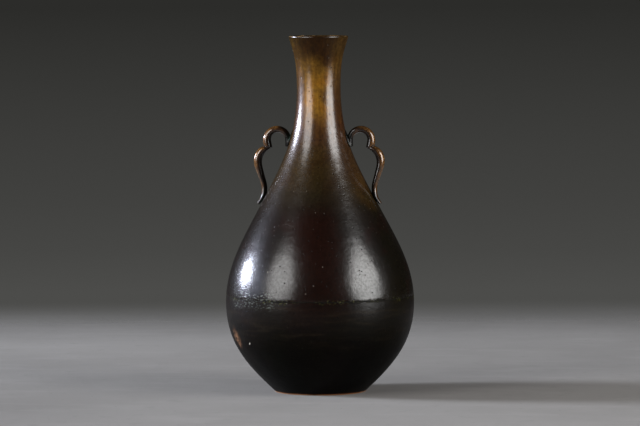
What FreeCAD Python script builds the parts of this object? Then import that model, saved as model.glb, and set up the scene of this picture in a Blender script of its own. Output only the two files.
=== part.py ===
"""Pear-shaped bronze hu vessel with two scrolled bracket handles.

The vessel is cast in two shells that lap inside each other a little above the widest part of the belly
and are soldered there. A pan-shaped plate closes the foot, and its edge is the line that the vessel stands
on. Each handle is one casting: an arch with a leaf at its root, folded to a point, then a bulging limb that
runs down to a tail on the shoulder. Two tenons through the wall hold it, each peened over a washer inside.

Millimetres. The origin is at the centre of the foot, on the table. +Z is up, and the handles lie along X.
"""

import FreeCAD
import Part

import math
import os

from FreeCAD import Placement, Rotation, Vector

# Outline of the outside. A lean is the angle between the wall and the vertical, in degrees.
HEIGHT = 300.0
FOOT_RADIUS = 37.9
FOOT_LEAN = 47.5
BELLY_RADIUS = 79.5
BELLY_HEIGHT = 75.5
SHOULDER_RADIUS = 41.7
SHOULDER_HEIGHT = 172.7
SHOULDER_LEAN = 27.5
NECK_RADIUS = 18.5
NECK_HEIGHT = 257.5
MOUTH_RADIUS = 25.1
MOUTH_LEAN = 14.0

# How far each span of the outline holds its direction at its lower and upper end, as shares of its chord.
FLANK_PULLS = (0.40, 0.38)
SHOULDER_PULLS = (0.315, 0.44)
NECK_PULLS = (0.375, 0.415)
MOUTH_PULLS = (0.62, 0.255)

# Walls and the lapped joint of the two shells.
WALL = 2.2
LIP_THICKNESS = 1.8
SEAM_HEIGHT = 81.0
SEAM_GAP = 0.6
LAP_LENGTH = 5.0
LAP_CLEARANCE = 0.1

# Foot: a flange inside the lower shell, and the plate that closes it.
FLANGE_WIDTH = 5.6
FLANGE_THICKNESS = 2.4
PLATE_THICKNESS = 1.2
PLATE_CLEARANCE = 0.05
BEAD_WIDTH = 3.2
BEAD_RISE = 0.8

# Handle: where it is fixed to the wall.
ROOT_HEIGHT = 210.0
TAIL_DROP = 44.0
TENON_RADIUS = 1.6
TENON_CLEARANCE = 0.05
TENON_GRIP = 1.0
WASHER_RADIUS = 3.6
WASHER_THICKNESS = 1.0
HEAD_RADIUS = 2.7
HEAD_RISE = 1.2

# Handle: the arch above the fold. Its centre is measured from the wall at the root.
ARCH_STANDOFF = 10.2
ARCH_RISE = 2.3
ARCH_RADIUS = 9.05
ARCH_WIDTH = 7.5
ARCH_STEP = 30.0
LEG_DROP = 5.5
LEG_THICKNESS = 4.8
ARCH_THICKNESS = 6.7
FOLD_OUT = 8.0
FOLD_DOWN = 5.7
FOLD_THICKNESS = 7.2
FOLD_TILT = 16.0

# Handle: the limb below the fold, as (out, down, thickness, width) from the centre of the arch.
LOBE_STATIONS = (
    (5.2, 6.1, 0.9, 2.4),
    (7.6, 6.5, 3.0, 5.2),
    (10.5, 7.4, 5.0, 6.9),
    (13.5, 9.4, 6.5, 7.6),
    (15.8, 12.7, 7.0, 7.9),
    (16.9, 17.5, 6.9, 7.9),
    (16.4, 22.3, 6.4, 7.5),
)
# The same from the point of the wall that the tail is fixed to, where down is negative above that point.
TAIL_STATIONS = (
    (5.1, -19.3, 5.8, 7.0),
    (3.5, -14.2, 5.2, 6.7),
    (2.1, -9.6, 4.9, 6.5),
    (1.5, -5.0, 4.7, 6.6),
    (1.9, -1.0, 4.4, 7.0),
    (3.2, 2.5, 3.6, 7.2),
    (5.0, 5.1, 2.9, 6.6),
    (6.8, 7.5, 2.3, 5.0),
)

# Handle: the leaf that lies on the neck above the root.
LEAF_LENGTH = 14.8
LEAF_WIDTH = 9.4
LEAF_FOOT_WIDTH = 7.4
LEAF_WIDEST_SHARE = 0.4
LEAF_THICKNESS = 1.2
LEAF_EDGE = 0.15

OVAL_POINTS = 12
HALVINGS = 60
AXIS = Vector(0, 0, 1)
CENTRE = Vector(0, 0, 0)
ACROSS = Vector(0, 1, 0)


def lean_direction(lean):
    """Unit vector up the wall at a lean from the vertical, in the XZ plane."""
    angle = math.radians(lean)
    return Vector(math.sin(angle), 0, math.cos(angle))


def outline_spans(offset=0.0, lip_offset=None):
    """The four curves of the outline from foot to mouth, moved outwards along the wall's normal by offset."""
    lip_offset = offset if lip_offset is None else lip_offset
    mouth_height = HEIGHT - LIP_THICKNESS / 2 * (1 + math.sin(math.radians(MOUTH_LEAN)))
    stations = (
        (FOOT_RADIUS, 0.0, FOOT_LEAN, offset),
        (BELLY_RADIUS, BELLY_HEIGHT, 0.0, offset),
        (SHOULDER_RADIUS, SHOULDER_HEIGHT, -SHOULDER_LEAN, offset),
        (NECK_RADIUS, NECK_HEIGHT, 0.0, offset),
        (MOUTH_RADIUS, mouth_height, MOUTH_LEAN, lip_offset),
    )
    pulls = (FLANK_PULLS, SHOULDER_PULLS, NECK_PULLS, MOUTH_PULLS)
    points = []
    for radius, height, lean, moved in stations:
        along = lean_direction(lean)
        outwards = Vector(along.z, 0, -along.x)
        points.append((Vector(radius, 0, height) + outwards * moved, along))
    spans = []
    for (low, low_way), (high, high_way), (low_pull, high_pull) in zip(points, points[1:], pulls):
        chord = (high - low).Length
        span = Part.BezierCurve()
        span.setPoles([low, low + low_way * chord * low_pull, high - high_way * chord * high_pull, high])
        spans.append(span)
    return spans


def parameter_at(span, height):
    """The parameter where a rising span passes a height."""
    low, high = 0.0, 1.0
    for _ in range(HALVINGS):
        middle = (low + high) / 2
        if span.value(middle).z < height:
            low = middle
        else:
            high = middle
    return (low + high) / 2


def outline_edges(low, high, offset=0.0, lip_offset=None):
    """Edges of the outline between two heights, from the lower one up. A height of None is the mouth."""
    edges = []
    for span in outline_spans(offset, lip_offset):
        start, end = span.value(0.0).z, span.value(1.0).z
        if end <= low or (high is not None and start >= high):
            continue
        first = parameter_at(span, low) if start < low else 0.0
        last = parameter_at(span, high) if high is not None and high < end else 1.0
        edges.append(span.toShape(first, last))
    return edges


def start_of(edges):
    """The lower end of a run of edges."""
    return edges[0].valueAt(edges[0].FirstParameter)


def end_of(edges):
    """The upper end of a run of edges."""
    return edges[-1].valueAt(edges[-1].LastParameter)


def line(first, last):
    """A straight edge."""
    return Part.LineSegment(first, last).toShape()


def turned(edges):
    """The ring or bowl swept by a closed outline about the vessel's axis."""
    face = Part.Face(Part.Wire(Part.__sortEdges__(edges)))
    solid = face.revolve(CENTRE, AXIS, 360)
    if solid.Volume < 0:
        solid.reverse()
    return solid


def filled(low, high, offset=0.0):
    """Everything inside the outline between two heights, as one solid."""
    side = outline_edges(low, high, offset)
    bottom, top = start_of(side), end_of(side)
    axis_low, axis_high = Vector(0, 0, bottom.z), Vector(0, 0, top.z)
    return turned([*side, line(top, axis_high), line(axis_high, axis_low), line(axis_low, bottom)])


def wall_point(height):
    """The outside of the wall at a height, and its outward normal there."""
    for span in outline_spans():
        if span.value(0.0).z <= height <= span.value(1.0).z:
            at = parameter_at(span, height)
            along = Vector(*span.tangent(at)[0])
            return span.value(at), Vector(along.z, 0, -along.x)
    raise ValueError(f"the wall doesn't reach {height} mm")


# Where the two shells divide, and the opening in the foot that the plate closes.
SOCKET = -(WALL - LAP_CLEARANCE) / 2
SPIGOT = -(WALL + LAP_CLEARANCE) / 2
FLANGE_TOP = PLATE_THICKNESS + FLANGE_THICKNESS
SEAM_TOP = SEAM_HEIGHT + SEAM_GAP
LAP_TOP = SEAM_HEIGHT + LAP_LENGTH
FOOT_BORE_RADIUS = start_of(outline_edges(FLANGE_TOP, LAP_TOP, -WALL)).x - FLANGE_WIDTH


def upper_shell():
    """Neck, shoulder and upper belly, with a socket inside its lower edge."""
    outside = outline_edges(SEAM_TOP, None)
    inside = outline_edges(LAP_TOP + LAP_CLEARANCE, None, -WALL, -LIP_THICKNESS)
    socket = outline_edges(SEAM_TOP, LAP_TOP + LAP_CLEARANCE, SOCKET)
    outer_lip, inner_lip = end_of(outside), end_of(inside)
    crown = (outer_lip + inner_lip) * 0.5 + lean_direction(MOUTH_LEAN) * (LIP_THICKNESS / 2)
    lip = Part.Arc(outer_lip, crown, inner_lip).toShape()
    step = line(start_of(inside), end_of(socket))
    rim = line(start_of(socket), start_of(outside))
    return turned([*outside, lip, *inside, step, *socket, rim])


def lower_shell():
    """Lower belly, with a spigot at the seam and a flat flange at the foot."""
    outside = outline_edges(PLATE_THICKNESS, SEAM_HEIGHT)
    spigot = outline_edges(SEAM_HEIGHT, LAP_TOP, SPIGOT)
    inside = outline_edges(FLANGE_TOP, LAP_TOP, -WALL)
    bore_top = Vector(FOOT_BORE_RADIUS, 0, FLANGE_TOP)
    bore_foot = Vector(FOOT_BORE_RADIUS, 0, PLATE_THICKNESS)
    return turned([
        *outside,
        line(end_of(outside), start_of(spigot)),
        *spigot,
        line(end_of(spigot), end_of(inside)),
        *inside,
        line(start_of(inside), bore_top),
        line(bore_top, bore_foot),
        line(bore_foot, start_of(outside)),
    ])


def seam_solder():
    """The ring of solder that shows as a hairline round the belly."""
    outside = outline_edges(SEAM_HEIGHT, SEAM_TOP)
    spigot = outline_edges(SEAM_HEIGHT, SEAM_TOP, SPIGOT)
    top = line(end_of(outside), end_of(spigot))
    foot = line(start_of(spigot), start_of(outside))
    return turned([*outside, top, *spigot, foot])


def base_plate():
    """A pan turned upside down: its rim carries the vessel and its raised panel plugs the flange."""
    edge = outline_edges(0.0, PLATE_THICKNESS)
    plug = FOOT_BORE_RADIUS - PLATE_CLEARANCE
    recess = plug - PLATE_THICKNESS
    corners = [
        end_of(edge),
        Vector(plug, 0, PLATE_THICKNESS),
        Vector(plug, 0, FLANGE_TOP),
        Vector(0, 0, FLANGE_TOP),
        Vector(0, 0, FLANGE_THICKNESS),
        Vector(recess, 0, FLANGE_THICKNESS),
        Vector(recess, 0, 0),
        start_of(edge),
    ]
    return turned([*edge, *(line(a, b) for a, b in zip(corners, corners[1:]))])


def base_solder():
    """The bead that seals the plate to the flange, inside the vessel."""
    inner = Vector(FOOT_BORE_RADIUS - BEAD_WIDTH / 2, 0, FLANGE_TOP)
    crown = Vector(FOOT_BORE_RADIUS, 0, FLANGE_TOP + BEAD_RISE)
    outer = Vector(FOOT_BORE_RADIUS + BEAD_WIDTH / 2, 0, FLANGE_TOP)
    return turned([Part.Arc(inner, crown, outer).toShape(), line(outer, inner)])


def oval(centre, sideways, thickness, width):
    """A closed smooth section of a handle: its thickness lies sideways in the XZ plane, its width along Y."""
    points = []
    for step in range(OVAL_POINTS):
        angle = 2 * math.pi * step / OVAL_POINTS
        half_width = ACROSS * (width / 2 * math.cos(angle))
        points.append(centre + half_width + sideways * (thickness / 2 * math.sin(angle)))
    curve = Part.BSplineCurve()
    curve.interpolate(Points=points, PeriodicFlag=True)
    return Part.Wire(curve.toShape())


def limb(stations):
    """A smooth bar through (centre, thickness, width) stations, square to the line through their centres."""
    spine = Part.BSplineCurve()
    spine.interpolate([centre for centre, _, _ in stations])
    sections = []
    for centre, thickness, width in stations:
        along = Vector(*spine.tangent(spine.parameter(centre))[0])
        sections.append(oval(centre, Vector(along.z, 0, -along.x), thickness, width))
    return Part.makeLoft(sections, True)


def arch(centre):
    """The leg on the neck, the half ring, and the widened end that is folded to a point."""
    up, outwards = Vector(0, 0, 1), Vector(1, 0, 0)
    leg_top = centre - outwards * ARCH_RADIUS
    sections = [
        oval(leg_top - up * LEG_DROP, outwards, LEG_THICKNESS, ARCH_WIDTH),
        oval(leg_top - up * (LEG_DROP / 2), outwards, LEG_THICKNESS, ARCH_WIDTH),
    ]
    steps = round(180.0 / ARCH_STEP)
    for step in range(steps + 1):
        share = step / steps
        angle = math.pi * (1 - share)
        radial = Vector(math.cos(angle), 0, math.sin(angle))
        thickness = LEG_THICKNESS + (ARCH_THICKNESS - LEG_THICKNESS) * share
        # The section turns with the arch, so that its first point stays on the same side.
        sections.append(oval(centre + radial * ARCH_RADIUS, -radial, thickness, ARCH_WIDTH))
    fold = centre + outwards * FOLD_OUT - up * FOLD_DOWN
    tilt = math.radians(FOLD_TILT)
    sections.append(oval(fold, Vector(-math.cos(tilt), 0, -math.sin(tilt)), FOLD_THICKNESS, ARCH_WIDTH))
    return Part.makeLoft(sections, True)


def lower_limb(centre, tail):
    """The limb from the fold, round the bulge and down to the tip of the tail."""
    stations = []
    for origin, table in ((centre, LOBE_STATIONS), (tail, TAIL_STATIONS)):
        for out, down, thickness, width in table:
            stations.append((origin + Vector(out, 0, -down), thickness, width))
    return limb(stations)


def leaf(foot_height):
    """The pointed leaf that lies on the neck: a side-on outline filled by a layer that thins upwards."""
    half, half_foot = LEAF_WIDTH / 2, LEAF_FOOT_WIDTH / 2
    tip = Vector(0, 0, foot_height + LEAF_LENGTH)
    back = []
    for share in (0.0, 0.5, 1.0):
        point, outwards = wall_point(foot_height + LEAF_LENGTH * share)
        back.append(point + outwards * (LEAF_EDGE + (LEAF_THICKNESS - LEAF_EDGE) * (1 - share**2)))
    axis_foot, axis_tip = Vector(0, 0, back[0].z), Vector(0, 0, back[2].z)
    layer = turned([
        Part.Arc(*back).toShape(),
        line(back[2], axis_tip),
        line(axis_tip, axis_foot),
        line(axis_foot, back[0]),
    ])
    edges = [line(Vector(0, -half_foot, foot_height), Vector(0, half_foot, foot_height))]
    for side in (-1, 1):
        foot = Vector(0, side * half_foot, foot_height)
        widest = Vector(0, side * half, foot_height + LEAF_LENGTH * LEAF_WIDEST_SHARE)
        edges.append(Part.Arc(foot, widest, tip).toShape())
    outline = Part.Face(Part.Wire(Part.__sortEdges__(edges)))
    return outline.extrude(Vector(2 * back[0].x, 0, 0)).common(layer)


def peg(point, outwards, radius, outer_end, inner_end):
    """A round bar square to the wall, between two depths along the outward normal from a point of it."""
    return Part.makeCylinder(radius, outer_end - inner_end, point + outwards * inner_end, outwards)


def peened_head(point, outwards):
    """The domed end of a tenon, hammered out over its washer."""
    rim, crown, middle = Vector(HEAD_RADIUS, 0, 0), Vector(0, 0, HEAD_RISE), Vector(0, 0, 0)
    ball_radius = (HEAD_RADIUS**2 + HEAD_RISE**2) / (2 * HEAD_RISE)
    half_angle = math.asin(HEAD_RADIUS / ball_radius) / 2
    drop = ball_radius * (1 - math.cos(half_angle))
    bulge = Vector(ball_radius * math.sin(half_angle), 0, HEAD_RISE - drop)
    dome = turned([Part.Arc(rim, bulge, crown).toShape(), line(crown, middle), line(middle, rim)])
    seat = point - outwards * (WALL + WASHER_THICKNESS)
    dome.Placement = Placement(seat, Rotation(AXIS, outwards * -1))
    return dome


def handle():
    """The right-hand handle, as one casting with its two tenons."""
    root, root_normal = wall_point(ROOT_HEIGHT)
    tail, tail_normal = wall_point(ROOT_HEIGHT - TAIL_DROP)
    centre = root + Vector(ARCH_STANDOFF, 0, ARCH_RISE)
    foot_height = centre.z - LEG_DROP
    casting = arch(centre).fuse([lower_limb(centre, tail), leaf(foot_height)])
    casting = casting.cut(filled(0.0, NECK_HEIGHT))
    for point, outwards in ((root, root_normal), (tail, tail_normal)):
        tenon = peg(point, outwards, TENON_RADIUS, TENON_GRIP, -WALL - WASHER_THICKNESS)
        casting = casting.fuse([tenon, peened_head(point, outwards)])
    return casting


def washer(height):
    """The washer inside the wall at a height of the right-hand handle, hammered to the curve of the wall."""
    point, outwards = wall_point(height)
    disc = peg(point, outwards, WASHER_RADIUS, -WALL / 2, -WALL - WASHER_THICKNESS)
    hole = peg(point, outwards, TENON_RADIUS + TENON_CLEARANCE, 0.0, -2 * WALL - WASHER_THICKNESS)
    return disc.common(filled(SEAM_HEIGHT, NECK_HEIGHT, -WALL)).cut(hole)


def tenon_holes():
    """The four holes through the upper shell."""
    holes = []
    for height in (ROOT_HEIGHT, ROOT_HEIGHT - TAIL_DROP):
        point, outwards = wall_point(height)
        holes.append(peg(point, outwards, TENON_RADIUS + TENON_CLEARANCE, WALL, -2 * WALL))
    return holes + [opposite(hole) for hole in holes]


def opposite(shape):
    """A copy on the other side of the vessel."""
    copy = shape.copy()
    copy.rotate(CENTRE, AXIS, 180)
    return copy


def pieces():
    """Every piece by its name."""
    right_handle = handle()
    upper_washer = washer(ROOT_HEIGHT)
    lower_washer = washer(ROOT_HEIGHT - TAIL_DROP)
    return {
        "upper_shell": upper_shell().cut(tenon_holes()),
        "lower_shell": lower_shell(),
        "seam_solder": seam_solder(),
        "base_plate": base_plate(),
        "base_solder": base_solder(),
        "right_handle": right_handle,
        "left_handle": opposite(right_handle),
        "right_upper_washer": upper_washer,
        "left_upper_washer": opposite(upper_washer),
        "right_lower_washer": lower_washer,
        "left_lower_washer": opposite(lower_washer),
    }


os.makedirs("parts", exist_ok=True)
for name, shape in pieces().items():
    shape.exportStep(f"parts/{name}.step")
    print(f"{name}: {len(shape.Solids)} solid, {shape.Volume / 1000:.2f} cm3, valid {shape.isValid()}")
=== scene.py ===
"""Looks of a pear-shaped bronze hu vessel: patinated shells, worn handles with painted light and shade, a
soldered seam and a copper foot.

Metres, in the CAD frame: the origin is at the centre of the foot, +Z is up, and the handles lie along X.
"""

import math
import random

import bpy
import numpy as np
from mathutils import Matrix, Vector, noise
from mathutils.bvhtree import BVHTree


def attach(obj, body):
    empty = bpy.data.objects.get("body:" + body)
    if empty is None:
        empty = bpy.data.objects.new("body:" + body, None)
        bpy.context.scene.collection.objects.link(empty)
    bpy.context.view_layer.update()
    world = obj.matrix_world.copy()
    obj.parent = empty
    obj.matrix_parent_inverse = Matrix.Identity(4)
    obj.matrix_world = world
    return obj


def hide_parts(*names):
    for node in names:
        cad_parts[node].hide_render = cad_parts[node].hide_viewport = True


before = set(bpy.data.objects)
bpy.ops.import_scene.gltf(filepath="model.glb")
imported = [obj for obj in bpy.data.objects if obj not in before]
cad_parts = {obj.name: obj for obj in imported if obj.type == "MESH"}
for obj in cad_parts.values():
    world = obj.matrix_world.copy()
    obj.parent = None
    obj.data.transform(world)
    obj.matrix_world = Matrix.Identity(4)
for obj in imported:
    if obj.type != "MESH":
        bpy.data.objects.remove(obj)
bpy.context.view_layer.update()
BODY = "root"
MM = 0.001

# Outline of the outside, in millimetres and degrees, as in part.py: (radius, height, lean from the vertical).
HEIGHT = 300.0
FOOT, BELLY, SHOULDER, NECK = (37.9, 0.0, 47.5), (79.5, 75.5, 0.0), (41.7, 172.7, -27.5), (18.5, 257.5, 0.0)
MOUTH_RADIUS, MOUTH_LEAN = 25.1, 14.0
PULLS = ((0.40, 0.38), (0.315, 0.44), (0.375, 0.415), (0.62, 0.255))
WALL, LIP_THICKNESS = 2.2, 1.8
SEAM_HEIGHT, SEAM_GAP, LAP_LENGTH, LAP_CLEARANCE = 81.0, 0.6, 5.0, 0.1
FLANGE_WIDTH, FLANGE_THICKNESS, PLATE_THICKNESS, PLATE_CLEARANCE = 5.6, 2.4, 1.2, 0.05
SPAN_STEPS, SEGMENTS = 54, 288  # Steps along each span of the outline, and round the axis.
EDGE = 0.18  # Reach of the rounded edges of the shells and the plate.
UNEVENNESS, UNEVENNESS_SHIFT = 0.16, Vector((7.3, 3.1, 5.7))
UNEVEN_WAVES = ((22.0, 0.42), (75.0, 0.14))  # Waves to the metre, and their share of UNEVENNESS.
SHARP_ANGLE = 50.0
CAMERA_AZIMUTH = 8.0


def bearing(azimuth, elevation=0.0):
    """Unit vector from the vessel, in degrees. Azimuth grows from the camera towards the camera's right."""
    a, e = math.radians(azimuth + CAMERA_AZIMUTH), math.radians(elevation)
    return Vector((math.sin(a) * math.cos(e), -math.cos(a) * math.cos(e), math.sin(e)))


# ---------------------------------------------------------------- outline

def lean_direction(lean):
    """Unit (radius, height) vector up the wall at a lean in degrees."""
    return np.array([math.sin(math.radians(lean)), math.cos(math.radians(lean))])


def outline(offset=0.0, lip_offset=None):
    """Points of the outline from foot to mouth, moved outwards along the wall's normal."""
    lip_offset = offset if lip_offset is None else lip_offset
    mouth_height = HEIGHT - LIP_THICKNESS / 2 * (1 + math.sin(math.radians(MOUTH_LEAN)))
    stations = [(*s, offset) for s in (FOOT, BELLY, SHOULDER, NECK)]
    stations.append((MOUTH_RADIUS, mouth_height, MOUTH_LEAN, lip_offset))
    ends = []
    for radius, height, lean, moved in stations:
        along = lean_direction(lean)
        ends.append((np.array([radius, height]) + np.array([along[1], -along[0]]) * moved, along))
    t = np.linspace(0, 1, SPAN_STEPS, endpoint=False)[:, None]
    points = []
    for (low, low_way), (high, high_way), (low_pull, high_pull) in zip(ends, ends[1:], PULLS):
        chord = np.linalg.norm(high - low)
        a, b = low + low_way * chord * low_pull, high - high_way * chord * high_pull
        points.append((1 - t) ** 3 * low + 3 * (1 - t) ** 2 * t * a + 3 * (1 - t) * t**2 * b + t**3 * high)
    return np.vstack([*points, ends[-1][0]])


def between(line, low, high):
    """The part of an outline between two heights, with its end points at those heights."""
    inside = line[(line[:, 1] > low) & (line[:, 1] < high)]
    first = [np.interp(low, line[:, 1], line[:, 0]), low]
    last = [np.interp(high, line[:, 1], line[:, 0]), high] if high < line[-1, 1] else line[-1]
    return np.vstack([first, inside, last])


OUTSIDE = outline()
INSIDE = outline(-WALL, -LIP_THICKNESS)


def wall_radius(height, line=OUTSIDE):
    """Radius of the wall at a height, in millimetres."""
    return float(np.interp(height, line[:, 1], line[:, 0]))


# ---------------------------------------------------------------- meshes

def rounded(corner, before, after, radius, steps=3):
    """Points that round a corner of a section between its two neighbours."""
    corner, before, after = (np.array(p, float) for p in (corner, before, after))
    start = corner + (before - corner) / np.linalg.norm(before - corner) * radius
    end = corner + (after - corner) / np.linalg.norm(after - corner) * radius
    t = np.linspace(0, 1, steps + 1)[:, None]
    return (1 - t) ** 2 * start + 2 * (1 - t) * t * corner + t**2 * end


def cast_uneven(vert):
    """A point of a shell moved inwards by a smooth random amount of up to UNEVENNESS millimetres."""
    point = Vector(vert)
    share = sum((size * noise.noise(point * scale + UNEVENNESS_SHIFT) for scale, size in UNEVEN_WAVES), 0.5)
    outward = Vector((point.x, point.y, 0.0)).normalized()
    return point - outward * (min(max(share, 0.0), 1.0) * UNEVENNESS * MM)


def turned(name, section, materials, zones, cast=True):
    """A ring swept by a closed section about the axis. zones gives each section span its material index."""
    section = np.array(section) * MM
    angles = np.linspace(0, 2 * math.pi, SEGMENTS, endpoint=False)
    rings, count = len(section), SEGMENTS
    radius, height = section[:, 0][:, None], section[:, 1][:, None]
    x, y = radius * np.cos(angles), radius * np.sin(angles)
    z = np.broadcast_to(height, x.shape)
    verts = np.stack([x, y, z], -1).reshape(-1, 3)
    if cast:
        verts = np.array([cast_uneven(v) for v in verts])
    i, j = np.meshgrid(np.arange(rings), np.arange(count), indexing="ij")
    i2, j2 = (i + 1) % rings, (j + 1) % count
    faces = np.stack([i * count + j, i * count + j2, i2 * count + j2, i2 * count + j], -1).reshape(-1, 4)
    mesh = bpy.data.meshes.new(name)
    mesh.from_pydata(verts.tolist(), [], faces.tolist())
    for material in materials:
        mesh.materials.append(material)
    mesh.polygons.foreach_set("material_index", np.repeat(zones, count).astype(np.int32))
    mesh.polygons.foreach_set("use_smooth", np.ones(len(mesh.polygons), bool))
    mesh.set_sharp_from_angle(angle=math.radians(SHARP_ANGLE))
    mesh.update()
    piece = bpy.data.objects.new(name, mesh)
    bpy.context.scene.collection.objects.link(piece)
    return piece


# ---------------------------------------------------------------- materials

def linear(red, green, blue):
    """A colour written in 0 to 255 steps, as the linear values that a shader takes."""
    steps = [c / 255 for c in (red, green, blue)]
    return (*[c / 12.92 if c <= 0.04045 else ((c + 0.055) / 1.055) ** 2.4 for c in steps], 1.0)


class Graph:
    """The nodes of a new material or world. Inputs may be sockets or plain values."""

    def __init__(self, owner):
        owner.use_nodes = True
        self.owner, self.tree = owner, owner.node_tree
        self.tree.nodes.clear()
        places = self.node("ShaderNodeTexCoord").outputs
        self.position, self.way, self.normal = places["Object"], places["Generated"], places["Normal"]
        self.x, _, self.z = self.node("ShaderNodeSeparateXYZ", Vector=self.position).outputs

    @classmethod
    def material(cls, name):
        return cls(bpy.data.materials.new(name))

    def node(self, kind, settings=None, **inputs):
        made = self.tree.nodes.new(kind)
        for key, value in (settings or {}).items():
            setattr(made, key, value)
        for key, value in inputs.items():
            self.feed(made.inputs[key.replace("_", " ")], value)
        return made

    def feed(self, socket, value):
        if isinstance(value, bpy.types.NodeSocket):
            self.tree.links.new(value, socket)
        elif value is not None:
            socket.default_value = value

    def math(self, operation, a, b=None, clamp=False):
        made = self.node("ShaderNodeMath", {"operation": operation, "use_clamp": clamp})
        self.feed(made.inputs[0], a)
        self.feed(made.inputs[1], b)
        return made.outputs[0]

    def plus(self, a, b):
        return self.math("ADD", a, b)

    def times(self, a, b):
        return self.math("MULTIPLY", a, b)

    def either(self, a, b):
        """The larger of two shares."""
        return self.math("MAXIMUM", a, b)

    def left_of(self, share):
        """What is left of 1 after a share."""
        return self.math("SUBTRACT", 1.0, share)

    def swing(self, pattern, size):
        """A pattern from 0 to 1 as a number to either side of 0."""
        return self.times(self.math("SUBTRACT", pattern, 0.5), size)

    def vector(self, operation, a, b=None):
        made = self.node("ShaderNodeVectorMath", {"operation": operation})
        self.feed(made.inputs[0], a)
        self.feed(made.inputs[1], b)
        return made.outputs[1] if operation in ("LENGTH", "DOT_PRODUCT") else made.outputs[0]

    def fade(self, value, low, high, start=0.0, end=1.0):
        """start below low, end above high, and smooth between them."""
        made = self.node("ShaderNodeMapRange", {"interpolation_type": "SMOOTHSTEP"}, Value=value)
        for key, number in (("From Min", low), ("From Max", high), ("To Min", start), ("To Max", end)):
            made.inputs[key].default_value = number
        return made.outputs[0]

    def by_height(self, low, high, start=0.0, end=1.0):
        """start below one height in millimetres, end above another, and smooth between them."""
        return self.fade(self.z, low * MM, high * MM, start, end)

    def along(self, azimuth):
        """How far a point is from the axis towards a bearing, in millimetres."""
        return self.vector("DOT_PRODUCT", self.position, bearing(azimuth) / MM)

    def toward(self, azimuth):
        """1 on the side that faces a bearing, and 0 a quarter turn from it."""
        outward = self.vector("NORMALIZE", self.vector("MULTIPLY", self.position, (1, 1, 0)))
        return self.vector("DOT_PRODUCT", outward, bearing(azimuth))

    def noise(self, scale, detail=2.0, roughness=0.5, offset=0.0, place=None):
        """Soft noise with scale features to the metre. Each offset gives another pattern."""
        return self.node(
            "ShaderNodeTexNoise", {"noise_dimensions": "4D"}, Vector=place or self.position, W=offset,
            Scale=scale, Detail=detail, Roughness=roughness,
        ).outputs[0]

    def grain(self, across, deep, high, detail=4.0, roughness=0.6, offset=0.0):
        """Noise drawn out along an axis, with so many features to the metre along X, Y and Z."""
        place = self.vector("MULTIPLY", self.position, (across, deep, high))
        return self.noise(1.0, detail, roughness, offset, place)

    def dots(self, scale, offset, size, rarity):
        """1 on dots scattered scale to the metre, and 0 between them.

        size says where a dot starts and stops to fade, as a share of a cell. Each cell has a random number,
        and its dot comes in over the range rarity of that number.
        """
        place = self.vector("ADD", self.position, (offset, offset, offset))
        made = self.node("ShaderNodeTexVoronoi", Vector=place, Scale=scale)
        chance = self.node("ShaderNodeSeparateXYZ", Vector=made.outputs["Color"]).outputs[0]
        return self.times(self.fade(made.outputs["Distance"], *size, 1.0, 0.0), self.fade(chance, *rarity))

    def mix(self, share, a, b, blend="MIX"):
        made = self.node("ShaderNodeMix", {"data_type": "RGBA", "blend_type": blend, "clamp_factor": True})
        self.feed(made.inputs[0], share)
        self.feed(made.inputs[6], a)
        self.feed(made.inputs[7], b)
        return made.outputs[2]

    def ramp(self, value, stops):
        """A colour ramp through (place, colour) stops, with places from 0 to 1."""
        made = self.node("ShaderNodeValToRGB", Fac=value)
        band = made.color_ramp
        while len(band.elements) < len(stops):
            band.elements.new(0.5)
        for element, (place, colour) in zip(band.elements, stops):
            element.position = place
            element.color = colour
        return made.outputs[0]

    def ragged(self, distance, radius, blur=0.35):
        """1 where a distance in metres is within a radius and 0 outside it, with a ragged edge."""
        uneven = self.swing(self.noise(0.9 / radius, 4.0, 0.6), radius * 1.6)
        return self.fade(self.plus(distance, uneven), radius * (1 - blur), radius * (1 + blur), 1.0, 0.0)

    def spot(self, point, radius, blur=0.35, stretch=(1, 1, 1)):
        """A ragged spot round a point in millimetres, with a radius in millimetres."""
        away = self.vector("SUBTRACT", self.position, [c * MM for c in point])
        return self.ragged(self.vector("LENGTH", self.vector("MULTIPLY", away, stretch)), radius * MM, blur)

    def stroke(self, start, end, radius):
        """A ragged line between two points, all in millimetres."""
        start, end = Vector(start) * MM, Vector(end) * MM
        away = self.vector("SUBTRACT", self.position, start)
        along = end - start
        share = self.math("DIVIDE", self.vector("DOT_PRODUCT", away, along), along.length_squared, clamp=True)
        step = self.node("ShaderNodeVectorMath", {"operation": "SCALE"}, Scale=share)
        self.feed(step.inputs[0], along)
        distance = self.vector("LENGTH", self.vector("SUBTRACT", away, step.outputs[0]))
        return self.ragged(distance, radius * MM)

    def shade(self, share, colour, tint):
        """A colour multiplied by a tint by a share from 0 to 1."""
        return self.mix(share, colour, self.mix(1.0, colour, tint, "MULTIPLY"))

    def bump(self, height, depth, after=None):
        """A bump from a height of 0 to 1, over a depth in millimetres."""
        made = self.node("ShaderNodeBump", Height=height, Strength=1.0, Distance=depth * MM, Normal=after)
        return made.outputs[0]

    def finish(self, colour, metallic, roughness, normal, **constants):
        """Ends the material in a Principled shader, with the coat over the same bumps."""
        shader = self.node(
            "ShaderNodeBsdfPrincipled",
            Base_Color=colour, Metallic=metallic, Roughness=roughness, Normal=normal, **constants,
        )
        if "Coat_Weight" in constants:
            self.feed(shader.inputs["Coat Normal"], normal)
        return self.end(shader, "ShaderNodeOutputMaterial")

    def mix_shaders(self, share, a, b):
        made = self.node("ShaderNodeMixShader", Fac=share)
        self.feed(made.inputs[1], a.outputs[0])
        self.feed(made.inputs[2], b.outputs[0])
        return made

    def end(self, shader, kind):
        self.node(kind, Surface=shader.outputs[0])
        return self.owner


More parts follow.
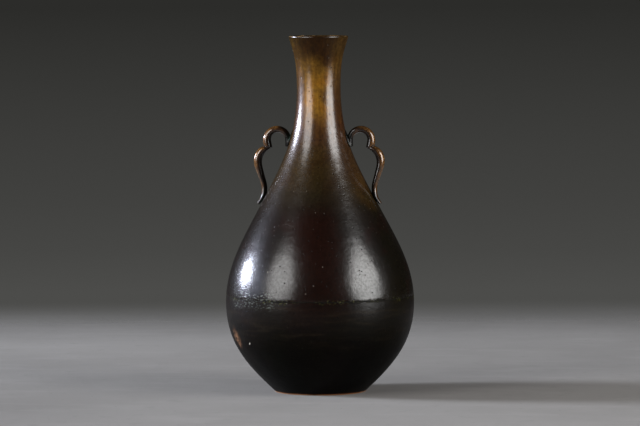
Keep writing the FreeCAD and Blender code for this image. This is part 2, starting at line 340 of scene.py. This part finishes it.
# Colour of the outside by height in millimetres, from the table to the lip.
PATINA = (
    (0, linear(6, 6, 5)),
    (40, linear(8, 7, 6)),
    (80, linear(19, 13, 8)),
    (132, linear(19, 13, 8)),
    (150, linear(23, 16, 10)),
    (168, linear(35, 27, 15)),
    (206, linear(66, 44, 24)),
    (225, linear(75, 46, 24)),
    (245, linear(74, 49, 24)),
    (270, linear(90, 64, 26)),
    (284, linear(72, 51, 20)),
    (300, linear(66, 46, 18)),
)
AMBER_AND_FRONT_GLOW, OCHRE_GLOW, RED_BROWN = linear(158, 113, 33), linear(112, 76, 28), linear(28, 11, 6)
DUST_AND_GLINT, PIT = linear(150, 142, 132), linear(8, 6, 5)
OLIVE_TINT, LIP_TINT = linear(214, 230, 170), linear(192, 172, 150)
WAX_IOR = 1.65


def patina_material(name, lower):
    """The outside of a shell: near black on the belly, brown on the shoulder and amber on the neck."""
    g = Graph.material(name)
    broad, cloudy = g.noise(14, 3.0), g.noise(60, 4.0, 0.55, offset=2.0)
    patches, fine = g.noise(26, 3.0, 0.55, offset=11.0), g.noise(420, 4.0, 0.6, offset=4.0)
    pits = g.dots(230, 1.0, (0.07, 0.17), (0.25, 0.60))
    on_neck = g.by_height(165, 225)
    colour = belly_colour(g, broad, cloudy, patches)
    colour = neck_colour(g, colour, cloudy, patches)
    colour = rubbed_colour(g, colour, on_neck, lower)
    colour = mottled_colour(g, colour, cloudy, fine, patches, pits)
    colour, coat, crust = seam_marks(g, colour, wax(g, cloudy, fine, pits, lower))
    colour, coat = wear_marks_and_glints(g, colour, coat, lower)
    roughness, coat_roughness = (0.46, 0.27) if lower else (0.36, 0.215)
    return g.finish(
        colour, g.times(on_neck, 0.14), g.plus(roughness, g.swing(cloudy, 0.3)), cast_surface(g, pits, crust),
        Specular_IOR_Level=0.05, IOR=1.5, Coat_Weight=coat, Coat_Roughness=coat_roughness, Coat_IOR=WAX_IOR,
    )


def belly_colour(g, broad, cloudy, patches):
    """The colours of PATINA with a wandering height, reddish where the wax is thin, and olive in places."""
    wander = g.plus(g.swing(broad, 0.030), g.swing(cloudy, 0.014))
    height_share = g.times(g.plus(g.z, wander), 1 / (HEIGHT * MM))
    colour = g.ramp(height_share, [(z / HEIGHT, tint) for z, tint in PATINA])
    front = g.fade(g.plus(g.toward(-1.0), g.times(patches, 0.2)), 0.99, 1.10)
    thin_wax = g.either(front, g.fade(patches, 0.55, 0.66, 0.0, 0.8))
    reddish = g.times(thin_wax, g.times(g.by_height(144, 166, 1.0, 0.0), g.by_height(50, 100, 0.1, 1.0)))
    colour = g.mix(reddish, colour, RED_BROWN)
    return g.shade(g.fade(broad, 0.48, 0.62, 0.0, 0.8), colour, OLIVE_TINT)


def neck_colour(g, colour, cloudy, patches):
    """Amber in patches up the neck with a painted amber glow on the side that faces front, a painted ochre
    glow on the right side, and a darker lip.
    """
    height = g.times(g.plus(g.z, g.swing(g.noise(75, 3.0, offset=12.0), 0.034)), 1 / MM)
    facing = g.toward(-5.0)
    thin = g.fade(g.plus(g.swing(cloudy, 1.1), g.either(facing, patches)), 0.64, 1.12, 0.0, 0.85)
    amber_height = g.times(g.fade(height, 214, 246), g.fade(height, 256, 286, 1.0, 0.0))
    # The amber is partly patchy colour and partly a painted glow where the neck faces front.
    colour = g.mix(g.times(amber_height, thin), colour, AMBER_AND_FRONT_GLOW)

    # Painted glow: ochre on the right of the shoulder and lower neck, where the right softbox's light
    # spreads.
    right_glow_height = g.times(g.fade(height, 150, 185), g.fade(height, 212, 236, 1.0, 0.0))
    right_glow = g.times(g.fade(g.along(84.0), 21, 45), right_glow_height)
    colour = g.mix(g.times(right_glow, 0.28), colour, OCHRE_GLOW)
    lip_middle = g.times(g.fade(facing, 0.62, 1.0), g.fade(height, 270, 288))
    return g.shade(g.times(lip_middle, 0.9), colour, LIP_TINT)


def rubbed_colour(g, colour, on_neck, lower):
    """Turning marks round the lower shell, or wiping marks up the neck."""
    if lower:
        streaks = g.grain(24, 24, 210)
        pale = g.times(g.fade(streaks, 0.50, 0.70, 0.0, 0.07), g.by_height(35, 60))
        colour = g.mix(pale, colour, linear(92, 78, 58))
        return g.shade(g.fade(streaks, 0.34, 0.50, 0.5, 0.0), colour, linear(170, 160, 150))
    return g.shade(on_neck, colour, g.fade(g.grain(330, 330, 14), 0.30, 0.72, 0.62, 1.2))


def mottled_colour(g, colour, cloudy, fine, patches, pits):
    """Clouds, fine mottling, dark pits, and pale specks that are most common above the belly, partly wax and
    dust and partly painted glints.
    """
    colour = g.shade(g.fade(cloudy, 0.44, 0.62, 0.0, 0.55), colour, linear(214, 190, 160))
    colour = g.shade(g.fade(fine, 0.35, 0.65, 0.5, 0.0), colour, linear(160, 146, 136))
    colour = g.mix(g.times(pits, 0.8), colour, PIT)
    # Pale specks: partly dust, partly painted glints of the grain.
    share = g.times(g.by_height(110, 165, 0.15, 1.0), g.fade(patches, 0.40, 0.58, 0.1, 1.0))
    specks = g.times(g.dots(260, 5.0, (0.04, 0.10), (0.50, 0.60)), share)
    return g.mix(g.times(specks, 0.55), colour, DUST_AND_GLINT)


def wax(g, cloudy, fine, pits, lower):
    """The weight of the wax coat: little near the table, most at the root of the neck, less at the mouth."""
    if lower:
        coat = g.by_height(35, 84, 0.01, 0.24)
    else:
        coat = g.times(g.by_height(140, 210, 0.90, 1.12), g.by_height(248, 280, 1.0, 0.16))
    coat = g.times(coat, g.fade(g.plus(cloudy, g.times(fine, 0.4)), 0.45, 0.95, 1.0, 0.76))
    coat = g.times(coat, g.fade(g.noise(520, 2.0, 0.6, offset=14.0), 0.36, 0.60, 0.76, 1.0))
    coat = g.times(coat, g.left_of(g.times(pits, 0.85)))
    return g.either(coat, g.by_height(298.4, 299.3, 0.0, 0.9))


def cast_surface(g, pits, crust):
    """The bumps of the bronze: slow waves, grain that is deepest on the belly, pits, and the seam's crust."""
    belly = g.by_height(95, 150, 1.0, 0.22)
    sunk = g.times(g.dots(620, 3.0, (0.10, 0.45), (0.2, 0.9)), g.by_height(95, 170, -1.0, -0.4))
    normal = g.bump(g.noise(110, offset=3.0), 0.22)
    normal = g.bump(g.times(g.noise(500, 2.0, 0.6, offset=7.0), belly), 0.05, normal)
    normal = g.bump(g.times(g.noise(1100, 2.0, 0.6, offset=9.0), belly), 0.05, normal)
    normal = g.bump(sunk, 0.04, normal)
    return g.bump(g.math("SUBTRACT", crust, pits), 0.09, normal)


def seam_marks(g, colour, coat):
    """Dark flux and smears of greenish solder beside the seam, and scuffs on the camera's left.

    The result is the colour, the coat and the height of the crust.
    """
    middle = SEAM_HEIGHT + SEAM_GAP / 2
    away = g.math("ABSOLUTE", g.math("SUBTRACT", g.times(g.z, 1 / MM), middle))
    patchy, dots = g.noise(70, 3.0, 0.6, offset=21.0), g.noise(620, 3.0, 0.6, offset=22.0)
    beside = within(g, away, g.fade(patchy, 0.40, 0.70, 0.4, 4.2), 0.35)
    dark = g.times(beside, g.fade(g.grain(150, 150, 700, 3.0, offset=23.0), 0.48, 0.56))
    solder = g.times(g.times(beside, g.fade(dots, 0.54, 0.62)), g.fade(patchy, 0.44, 0.56))
    left = g.fade(g.along(-48.0), 0.90 * BELLY[0], 0.98 * BELLY[0])
    scuffed = g.times(left, within(g, away, g.fade(patchy, 0.30, 0.60, 3.5, 10.0), 0.5))
    scratches = g.grain(420, 420, 900, roughness=0.7, offset=24.0)
    scuffs = g.times(scuffed, g.fade(scratches, 0.54, 0.62))
    grime = g.times(g.either(dark, g.times(scuffed, g.fade(scratches, 0.36, 0.46, 1.0, 0.0))), 0.7)
    colour = g.mix(grime, colour, linear(8, 8, 7))
    colour = g.mix(g.times(solder, 0.7), colour, linear(70, 70, 36))
    colour = g.mix(g.times(scuffs, 0.38), colour, linear(124, 130, 122))
    dull_reach = g.fade(g.grain(120, 120, 60, roughness=0.65, offset=25.0), 0.36, 0.66, 0.2, 2.6)
    dull = g.times(within(g, away, dull_reach, 0.7), 0.8)
    coat = g.times(coat, g.left_of(g.either(dull, grime)))
    return colour, coat, g.times(g.plus(solder, g.times(scuffs, 0.5)), 0.6)


def within(g, away, reach, full):
    """1 up to the share full of a reach, and 0 past the reach."""
    return g.fade(g.math("DIVIDE", away, reach), full, 1.0, 1.0, 0.0)


# Marks that the photograph shows, each with its place in millimetres.
COPPER_SPOT = (-65.2, -36.2, 46.6)
OLIVE_PATCH = (71.0, -35.2, 82.0)
# Pale specks of dust, some standing in as painted glints on the shoulder, belly and neck.
PALE_SPECKS_AND_GLINTS = (
    (12.3, -71.9, 110.3), (5.5, -77.2, 95.0), (-1.0, -78.6, 88.4),
    (-17.1, -77.4, 80.2), (-34.5, -66.1, 105.5), (-29.9, -14.8, 189.3),
    (-40.7, -23.3, 162.8), (-47.6, -12.0, 158.8), (6.4, -17.5, 249.0),
)
NECK_PIT = (12.4, -18.9, 218.9)
LOWER_SCRATCH = ((-53.6, -50.6, 42.4), (-51.0, -52.4, 46.2))


def wear_marks_and_glints(g, colour, coat, lower):
    """The marks of one shell that the photograph shows, with the worn edge of the lip on the upper one."""
    if lower:
        rubbed = g.fade(g.noise(330, 4.0, 0.65, offset=33.0), 0.40, 0.56, 0.1, 1.0)
        spot = g.times(g.spot(COPPER_SPOT, 4.6, 0.8, (0.9, 0.9, 0.66)), rubbed)
        colour = g.mix(g.times(spot, 0.75), colour, linear(116, 84, 62))
        colour = g.mix(g.times(g.stroke(*LOWER_SCRATCH, 0.6), 0.8), colour, linear(150, 146, 136))
        coat = g.times(coat, g.left_of(g.times(spot, 0.8)))
    else:
        worn = g.times(g.by_height(299.2, 299.8), g.fade(g.noise(75, offset=31.0), 0.50, 0.60))
        colour = g.mix(g.times(worn, 0.5), colour, linear(170, 138, 94))
        colour = g.mix(g.spot(NECK_PIT, 0.9), colour, linear(10, 9, 8))
    colour = g.shade(g.spot(OLIVE_PATCH, 15.0, 0.6), colour, linear(255, 255, 190))
    # Pale specks: partly dust, partly painted glints.
    for point in PALE_SPECKS_AND_GLINTS:
        if (point[2] < SEAM_HEIGHT) == lower:
            colour = g.mix(g.times(g.spot(point, 0.4), 0.45), colour, DUST_AND_GLINT)
    return colour, coat


def oxide_material():
    """The inside of the bronze: brown oxide over casting grain, with dusty and greenish patches."""
    g = Graph.material("inner_oxide")
    cloudy, fine = g.noise(45, 4.0, 0.6), g.noise(500, 4.0, 0.6, offset=2.0)
    colour = g.mix(g.fade(cloudy, 0.38, 0.64), linear(48, 32, 20), linear(76, 50, 30))
    green = g.times(g.fade(g.noise(80, 3.0, 0.6, offset=5.0), 0.56, 0.66), g.fade(fine, 0.42, 0.58))
    colour = g.mix(g.times(green, 0.5), colour, linear(62, 82, 62))
    colour = g.shade(g.fade(fine, 0.35, 0.65, 0.7, 0.0), colour, linear(150, 138, 126))
    colour = g.mix(g.by_height(288, 298.5, 0.0, 0.55), colour, linear(112, 78, 44))
    drips = g.grain(160, 160, 10, 3.0, offset=8.0)
    colour = g.shade(g.fade(drips, 0.50, 0.66, 0.0, 0.8), colour, linear(150, 130, 110))
    normal = g.bump(g.noise(90, 3.0, offset=3.0), 0.4)
    normal = g.bump(fine, 0.12, normal)
    return g.finish(colour, 0.25, g.fade(cloudy, 0.3, 0.7, 0.72, 0.55), normal, Specular_IOR_Level=0.25)


def copper_material():
    """The plate under the foot: red copper, tarnished in its recess, and worn bright where it stands, with a
    painted highlight along that edge.
    """
    g = Graph.material("base_copper")
    cloudy, fine = g.noise(60, 4.0, 0.6), g.noise(600, 3.0, 0.6, offset=2.0)
    radius = g.vector("LENGTH", g.vector("MULTIPLY", g.position, (1, 1, 0)))
    tarnish = g.noise(110, 3.0, 0.6, offset=4.0)
    colour = g.mix(g.fade(cloudy, 0.36, 0.62), linear(92, 48, 29), linear(140, 80, 45))
    colour = g.mix(g.fade(tarnish, 0.54, 0.64, 0.0, 0.6), colour, linear(58, 36, 34))
    rubs = g.grain(900, 60, 60, 3.0, offset=6.0)
    colour = g.mix(g.fade(rubs, 0.57, 0.64, 0.0, 0.45), colour, linear(196, 126, 92))
    # Bright worn copper along the bottom edge, which also serves as a painted highlight there.
    worn = g.times(g.by_height(0.4, 0.9, 1.0, 0.0), g.fade(cloudy, 0.34, 0.50))
    colour = g.mix(g.times(worn, 0.8), colour, linear(226, 162, 92))
    in_recess = g.fade(radius, 28.6 * MM, 30.2 * MM, 0.8, 0.0)
    colour = g.shade(in_recess, colour, linear(190, 170, 160))
    rings = g.node("ShaderNodeCombineXYZ", X=g.times(radius, 1400)).outputs[0]
    turning = g.noise(1.0, offset=7.0, place=rings)
    normal = g.bump(g.noise(120, offset=3.0), 0.3)
    normal = g.bump(turning, 0.05, normal)
    normal = g.bump(fine, 0.05, normal)
    return g.finish(colour, 0.8, g.fade(cloudy, 0.3, 0.7, 0.5, 0.34), normal)


def seam_material():
    """The solder in the seam: dull and greenish, broken by dark flux."""
    g = Graph.material("seam_solder")
    patchy, dots = g.noise(90, 3.0, 0.6, offset=21.0), g.noise(620, 3.0, 0.6, offset=22.0)
    colour = g.mix(g.fade(dots, 0.42, 0.60), linear(9, 9, 7), linear(19, 16, 11))
    colour = g.mix(g.times(g.fade(patchy, 0.53, 0.62), g.fade(dots, 0.50, 0.62)), colour, linear(84, 86, 50))
    return g.finish(colour, 0.05, 0.6, g.bump(dots, 0.2), Specular_IOR_Level=0.1)


def solder_material():
    """The bead inside the foot: dull grey tin with a ropy surface."""
    g = Graph.material("inner_solder")
    cloudy, ropy = g.noise(160, 3.0, 0.6), g.noise(420, 3.0, 0.55, offset=2.0)
    colour = g.mix(g.fade(cloudy, 0.35, 0.65), linear(92, 92, 88), linear(136, 136, 132))
    colour = g.shade(g.fade(ropy, 0.35, 0.6, 0.9, 0.0), colour, linear(150, 146, 140))
    return g.finish(colour, 0.7, g.fade(ropy, 0.3, 0.7, 0.62, 0.42), g.bump(ropy, 0.4))


def washer_material():
    """Small bronze washers: brown oxide with file marks and bright edges."""
    g = Graph.material("washer_bronze")
    cloudy = g.noise(300, 3.0, 0.6)
    marks = g.grain(400, 2600, 400, 3.0, offset=3.0)
    colour = g.mix(g.fade(cloudy, 0.35, 0.65), linear(84, 56, 32), linear(132, 92, 52))
    colour = g.shade(g.fade(marks, 0.40, 0.60, 0.7, 0.0), colour, linear(160, 146, 130))
    return g.finish(colour, 0.7, g.fade(cloudy, 0.3, 0.7, 0.55, 0.38), g.bump(marks, 0.06))


def handle_material():
    """Handle bronze: painted shade in its folds, against the body and on its inner side, and orange copper on
    its outer and upper faces that is partly wear and partly painted light, with painted highlight flecks.
    """
    g = Graph.material("handle_bronze")
    cloudy, fine = g.noise(130, 4.0, 0.6), g.noise(700, 3.0, 0.6, offset=2.0)
    hidden = g.node("ShaderNodeAttribute", {"attribute_name": "shelter"}).outputs["Fac"]
    sideways, _, upward = g.node("ShaderNodeSeparateXYZ", Vector=g.normal).outputs
    outward = g.times(sideways, g.math("SIGN", g.x))
    # Orange copper on the faces that point outwards and up: partly wear, partly painted light where the lamps
    # fall on them.
    proud_and_lit = g.plus(g.plus(g.times(outward, 0.8), g.times(upward, 0.35)), g.swing(cloudy, 1.3))
    open_air = g.fade(hidden, 0.12, 0.5, 1.0, 0.0)
    wear_and_light = g.times(g.times(g.fade(proud_and_lit, -0.15, 0.95), open_air), g.by_height(160, 196, 0.3, 1.0))
    # Painted shade: near black on the inner side, which faces the body, and where the handle is sheltered.
    inner_side = g.fade(outward, -0.65, 0.05, 1.0, 0.0)
    dark = g.mix(g.fade(cloudy, 0.4, 0.62), linear(26, 16, 9), linear(54, 31, 15))
    dark = g.mix(g.either(inner_side, g.left_of(open_air)), dark, linear(15, 10, 7))
    colour = g.mix(wear_and_light, dark, linear(114, 78, 37))
    # Painted highlight: flecks of pale copper on the outer faces.
    colour = g.mix(g.times(wear_and_light, g.fade(fine, 0.52, 0.66, 0.0, 0.5)), colour, linear(176, 130, 78))
    green = g.times(g.fade(hidden, 0.45, 0.9), g.fade(cloudy, 0.46, 0.60, 0.0, 0.7))
    colour = g.mix(green, colour, linear(44, 66, 58))
    colour = g.shade(g.fade(fine, 0.35, 0.6, 0.7, 0.0), colour, linear(150, 134, 120))
    normal = g.bump(g.noise(260, 3.0, offset=3.0), 0.12)
    normal = g.bump(fine, 0.04, normal)
    roughness = g.plus(g.fade(cloudy, 0.3, 0.7, 0.40, 0.28), g.times(hidden, 0.2))
    coat = g.times(g.fade(hidden, 0.15, 0.6, 1.0, 0.15), g.left_of(g.times(inner_side, 0.75)))
    return g.finish(
        colour, g.fade(wear_and_light, 0.0, 1.0, 0.1, 0.45), roughness, normal, Specular_IOR_Level=0.2,
        Coat_Weight=coat, Coat_Roughness=0.12, Coat_IOR=WAX_IOR,
    )


# Shelter from the handle itself: the rays from a point, their reach and start, and the gain on their hits.
SHELTER_RAYS, SHELTER_REACH, SHELTER_START, SHELTER_GAIN = 20, 9.0, 0.15, 1.6
RAYS_OUTWARDS = 1.05  # How much of the normal is added to a random way, so that rays leave the surface.
# Shelter from the body: full up to a gap of NEAREST, and none a reach further out.
BODY_SHELTER, NEAREST = 0.75, 0.6
NECK_REACH, SHOULDER_REACH, NECK_ROOT = 11.0, 5.0, 190.0


def add_shelter(mesh, seed):
    """Gives each vertex a number, from 0 in the open to 1 in a fold or against the body, which the handle
    material uses among other things for painted shade.
    """
    tree = BVHTree.FromPolygons([v.co for v in mesh.vertices], [p.vertices for p in mesh.polygons])
    dice = random.Random(seed)
    rays = [Vector([dice.gauss(0, 1) for _ in range(3)]).normalized() for _ in range(SHELTER_RAYS)]
    values = []
    for vert in mesh.vertices:
        start = vert.co + vert.normal * SHELTER_START * MM
        ways = [(vert.normal * RAYS_OUTWARDS + ray).normalized() for ray in rays]
        hits = sum(tree.ray_cast(start, way, SHELTER_REACH * MM)[0] is not None for way in ways)
        height = vert.co.z / MM
        gap = math.hypot(vert.co.x, vert.co.y) / MM - wall_radius(height)
        reach = NECK_REACH if height > NECK_ROOT else SHOULDER_REACH
        beside_body = BODY_SHELTER * (1 - min(max((gap - NEAREST) / reach, 0.0), 1.0))
        values.append(min(max(SHELTER_GAIN * hits / SHELTER_RAYS, beside_body), 1.0))
    mesh.attributes.new("shelter", "FLOAT", "POINT").data.foreach_set("value", values)


# ---------------------------------------------------------------- pieces

FLANGE_TOP = PLATE_THICKNESS + FLANGE_THICKNESS
FOOT_BORE = wall_radius(FLANGE_TOP, INSIDE) - FLANGE_WIDTH
AXIS_HOLE = 0.02  # The plate's section stops here, because faces can't meet in a point.
HANDLE_VOXEL, HANDLE_SMOOTHING, HANDLE_SMOOTHINGS = 0.35, 0.5, 6


def shell_pieces():
    """The two shells, the ring of solder between them and the plate under the foot."""
    outer, inner = 0, 1
    patina_upper = patina_material("patina_upper", False)
    patina_lower = patina_material("patina_lower", True)
    oxide, copper, solder = oxide_material(), copper_material(), seam_material()

    socket = outline(-(WALL - LAP_CLEARANCE) / 2)
    spigot = outline(-(WALL + LAP_CLEARANCE) / 2)
    seam_top, lap_top = SEAM_HEIGHT + SEAM_GAP, SEAM_HEIGHT + LAP_LENGTH

    outside = between(OUTSIDE, seam_top, HEIGHT)
    inside = between(INSIDE, lap_top + LAP_CLEARANCE, HEIGHT)[::-1]
    step = between(socket, seam_top, lap_top + LAP_CLEARANCE)[::-1]
    lip = lip_arc(outside[-1], inside[0])
    edge = rounded(outside[0], step[-1], outside[1], EDGE)
    section = np.vstack([edge, outside[2:], lip, inside[1:], step])
    zones = [outer] * (len(edge) + len(outside) - 2 + len(lip)) + [inner] * (len(inside) - 1 + len(step))
    upper = turned("upper_shell_cast", section, [patina_upper, oxide], zones)
    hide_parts("upper_shell")

    outside = between(OUTSIDE, PLATE_THICKNESS, SEAM_HEIGHT)
    tongue = between(spigot, SEAM_HEIGHT, lap_top)
    inside = between(INSIDE, FLANGE_TOP, lap_top)[::-1]
    flange = [(FOOT_BORE, FLANGE_TOP), (FOOT_BORE, PLATE_THICKNESS)]
    edge = rounded(outside[-1], outside[-2], tongue[0], EDGE)
    section = np.vstack([outside[:-1], edge, tongue, inside, flange])
    zones = [outer] * (len(outside) - 1 + len(edge)) + [inner] * (len(tongue) + len(inside) + len(flange))
    lower = turned("lower_shell_cast", section, [patina_lower, oxide], zones)
    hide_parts("lower_shell")

    outside, tongue = (between(line, SEAM_HEIGHT, seam_top) for line in (OUTSIDE, spigot))
    section = np.vstack([outside, tongue[::-1]])
    seam = turned("seam_solder_line", section, [solder], [0] * len(section))
    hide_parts("seam_solder")

    rim = between(OUTSIDE, 0.0, PLATE_THICKNESS)
    plug = FOOT_BORE - PLATE_CLEARANCE
    recess = plug - PLATE_THICKNESS
    corners = [
        (plug, PLATE_THICKNESS), (plug, FLANGE_TOP), (AXIS_HOLE, FLANGE_TOP), (AXIS_HOLE, FLANGE_THICKNESS),
        (recess, FLANGE_THICKNESS), (recess, 0.0),
    ]
    section = np.vstack([rounded(rim[0], corners[-1], rim[-1], EDGE), rim[-1:], corners])
    plate = turned("base_plate_pan", section, [copper], [0] * len(section), cast=False)
    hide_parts("base_plate")
    for piece in (upper, lower, seam, plate):
        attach(piece, BODY)


def lip_arc(outer, inner, steps=8):
    """Points of the rounded lip between the outer and inner surface, without its ends."""
    middle, half = (outer + inner) / 2, (outer - inner) / 2
    up = lean_direction(MOUTH_LEAN) * (LIP_THICKNESS / 2)
    turns = [math.pi * k / steps for k in range(1, steps)]
    return np.array([middle + half * math.cos(a) + up * math.sin(a) for a in turns])


def handle_pieces():
    """The two handles, each a smoothed copy of its CAD casting."""
    bronze = handle_material()
    for seed, side in enumerate(("right", "left")):
        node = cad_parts[f"{side}_handle"]
        piece = bpy.data.objects.new(f"{side}_handle_cast", node.data.copy())
        bpy.context.scene.collection.objects.link(piece)
        piece.data.materials.clear()
        remesh = piece.modifiers.new("remesh", "REMESH")
        remesh.mode = "VOXEL"
        remesh.voxel_size = HANDLE_VOXEL * MM
        smooth = piece.modifiers.new("smooth", "SMOOTH")
        smooth.factor, smooth.iterations = HANDLE_SMOOTHING, HANDLE_SMOOTHINGS
        depsgraph = bpy.context.evaluated_depsgraph_get()
        mesh = bpy.data.meshes.new_from_object(piece.evaluated_get(depsgraph))
        piece.modifiers.clear()
        piece.data = mesh
        add_shelter(mesh, seed)
        mesh.materials.append(bronze)
        mesh.polygons.foreach_set("use_smooth", np.ones(len(mesh.polygons), bool))
        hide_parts(f"{side}_handle")
        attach(piece, BODY)


def inner_fittings():
    """Materials for the small CAD pieces inside the vessel."""
    solder, washer = solder_material(), washer_material()
    for name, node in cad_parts.items():
        material = solder if name == "base_solder" else washer if name.endswith("washer") else None
        if material:
            node.data.materials.clear()
            node.data.materials.append(material)


# ---------------------------------------------------------------- camera, light and stage

CAMERA_DISTANCE, CAMERA_HEIGHT = 3.40965, 0.35978
CAMERA_PITCH, CAMERA_ROLL = 3.511, 0.344
IMAGE_WIDTH, FOCAL_PIXELS, SENSOR = 640, 4050.0, 36.0
AXIS_PIXELS_LEFT = 0.5


def make_camera():
    """The camera of the photograph."""
    data = bpy.data.cameras.new("camera")
    data.sensor_width = SENSOR
    data.lens = FOCAL_PIXELS / IMAGE_WIDTH * SENSOR
    data.clip_start, data.clip_end = 0.1, 50.0
    camera = bpy.data.objects.new("camera", data)
    bpy.context.scene.collection.objects.link(camera)
    camera.location = bearing(0.0) * CAMERA_DISTANCE + Vector((0, 0, CAMERA_HEIGHT))
    yaw = -math.degrees(math.atan(AXIS_PIXELS_LEFT / FOCAL_PIXELS))
    ahead = -bearing(yaw, CAMERA_PITCH)
    right = ahead.cross(Vector((0, 0, 1))).normalized()
    up = right.cross(ahead)
    roll = math.radians(CAMERA_ROLL)
    tilted_right = right * math.cos(roll) - up * math.sin(roll)
    tilted_up = up * math.cos(roll) + right * math.sin(roll)
    turn = Matrix((tilted_right, tilted_up, -ahead)).transposed()
    camera.rotation_euler = turn.to_euler()
    bpy.context.scene.camera = camera


# Name, azimuth, elevation, distance, width, height, radiance, colour, lights matt surfaces, is mirrored.
LAMPS = (
    ("window", -110.0, 14.0, 2.1, 0.49, 0.30, 142.0, (0.78, 0.83, 1.0), False, True),
    ("window_surround", -98.0, 13.0, 2.1, 1.90, 0.90, 1.3, (0.68, 0.75, 1.0), False, True),
    ("window_light", -96.0, 17.0, 4.0, 0.95, 0.65, 225.0, (0.84, 0.90, 1.0), True, False),
    ("left_softbox", -52.0, 19.0, 1.5, 0.90, 1.14, 5.35, (1.0, 1.0, 1.0), True, True),
    ("right_softbox", 60.5, 17.5, 1.5, 1.00, 1.26, 7.4, (1.0, 1.0, 0.99), True, True),
)
LIT_POINT_HEIGHT = 0.10


def make_lights():
    """Two softboxes in front, and the window on the left.

    The window has one lamp that is only mirrored, a dim one round it, and one that only lights matt surfaces,
    because in the photograph its reflection and the shadow on the table need different places.
    """
    target = Vector((0, 0, LIT_POINT_HEIGHT))
    for name, azimuth, elevation, distance, width, height, radiance, colour, lights_matt, mirrored in LAMPS:
        data = bpy.data.lights.new(name, "AREA")
        data.shape = "ELLIPSE"
        data.size, data.size_y = width, height
        data.energy = radiance * math.pi * (math.pi / 4 * width * height)
        data.color = colour
        lamp = bpy.data.objects.new(name, data)
        bpy.context.scene.collection.objects.link(lamp)
        way = bearing(azimuth, elevation)
        lamp.location = target + way * distance
        lamp.rotation_euler = way.to_track_quat("Z", "Y").to_euler()
        lamp.visible_camera, lamp.visible_diffuse, lamp.visible_glossy = False, lights_matt, mirrored


# Elevation in degrees and grey of the backdrop, from the table up.
BACKDROP = ((-4.60, 76), (-4.04, 70), (-3.33, 65), (-2.62, 61), (-1.92, 56), (-1.21, 50), (-0.60, 44))
ROOM_LIGHT, MIRRORED_BACKDROP = 0.12, 0.45


def make_world():
    """A dark grey backdrop for the camera and for reflections, and a low even light for everything else."""
    world = bpy.data.worlds.new("room")
    bpy.context.scene.world = world
    g = Graph(world)
    sines = [math.sin(math.radians(elevation)) for elevation, _ in BACKDROP]
    lowest, highest = sines[0], sines[-1]
    places = [(sine - lowest) / (highest - lowest) for sine in sines]
    stops = [(place, linear(grey, grey, grey - 2)) for place, (_, grey) in zip(places, BACKDROP)]
    upward = g.node("ShaderNodeSeparateXYZ", Vector=g.way).outputs[2]
    share = g.node("ShaderNodeMapRange", Value=upward, From_Min=lowest, From_Max=highest).outputs[0]
    rays = g.node("ShaderNodeLightPath").outputs
    camera_ray, glossy_ray = rays["Is Camera Ray"], rays["Is Glossy Ray"]
    brightness = g.node("ShaderNodeMapRange", Value=camera_ray, To_Min=MIRRORED_BACKDROP).outputs[0]
    seen = g.node("ShaderNodeBackground", Color=g.ramp(share, stops), Strength=brightness)
    felt = g.node("ShaderNodeBackground", Color=(1, 1, 1, 1), Strength=ROOM_LIGHT)
    g.end(g.mix_shaders(g.either(camera_ray, glossy_ray), felt, seen), "ShaderNodeOutputWorld")


FLOOR_HALF = 1.3
FLOOR_FADE = (420, 940)  # Where the table starts to fade and where it is gone, in millimetres.
FLOOR_GREYS = linear(139, 136, 134), linear(133, 130, 128), linear(145, 142, 140), linear(127, 125, 123)


def make_floor():
    """A pale table top that falls away into the dark backdrop on every side."""
    g = Graph.material("floor")
    cloudy, fine = g.noise(6, 4.0, 0.6), g.noise(60, 4.0, 0.65, offset=3.0)
    smears = g.grain(9, 26, 1, offset=5.0)
    plain, clouds, smeared, stains = FLOOR_GREYS
    colour = g.mix(g.fade(cloudy, 0.40, 0.62, 0.0, 0.8), plain, clouds)
    colour = g.mix(g.fade(smears, 0.50, 0.66, 0.0, 0.5), colour, smeared)
    colour = g.mix(g.fade(fine, 0.56, 0.68, 0.0, 0.5), colour, stains)
    colour = g.mix(g.times(g.dots(55, 2.0, (0.03, 0.06), (0.5, 0.6)), 0.7), colour, linear(92, 90, 88))
    rightward, backward = g.along(90.0), g.along(180.0)
    # Painted shade: the floor is darker towards the front left, and a little darker in front than behind, in
    # place of the way the lamps' light falls off.
    dim = g.times(g.fade(rightward, -300, -50, 0.8, 0.0), g.fade(backward, -150, 100, 1.0, 0.0))
    colour = g.shade(dim, colour, linear(224, 224, 224))
    colour = g.shade(g.fade(backward, 50, 450, 1.0, 0.0), colour, linear(247, 247, 247))
    top = g.node(
        "ShaderNodeBsdfPrincipled", Base_Color=colour, Roughness=0.85, Specular_IOR_Level=0.12,
        Normal=g.bump(fine, 0.4),
    )
    fourths = g.plus(g.math("POWER", rightward, 4.0), g.math("POWER", backward, 4.0))
    share = g.fade(g.math("POWER", fourths, 0.25), *FLOOR_FADE)
    surface = g.mix_shaders(share, top, g.node("ShaderNodeBsdfTransparent"))
    material = g.end(surface, "ShaderNodeOutputMaterial")
    mesh = bpy.data.meshes.new("floor")
    corners = [(-1, -1), (1, -1), (1, 1), (-1, 1)]
    mesh.from_pydata([(x * FLOOR_HALF, y * FLOOR_HALF, 0.0) for x, y in corners], [], [(0, 1, 2, 3)])
    mesh.materials.append(material)
    floor = bpy.data.objects.new("floor", mesh)
    bpy.context.scene.collection.objects.link(floor)


shell_pieces()
handle_pieces()
inner_fittings()
make_camera()
make_lights()
make_world()
make_floor()
bpy.context.scene.view_settings.view_transform = "Standard"
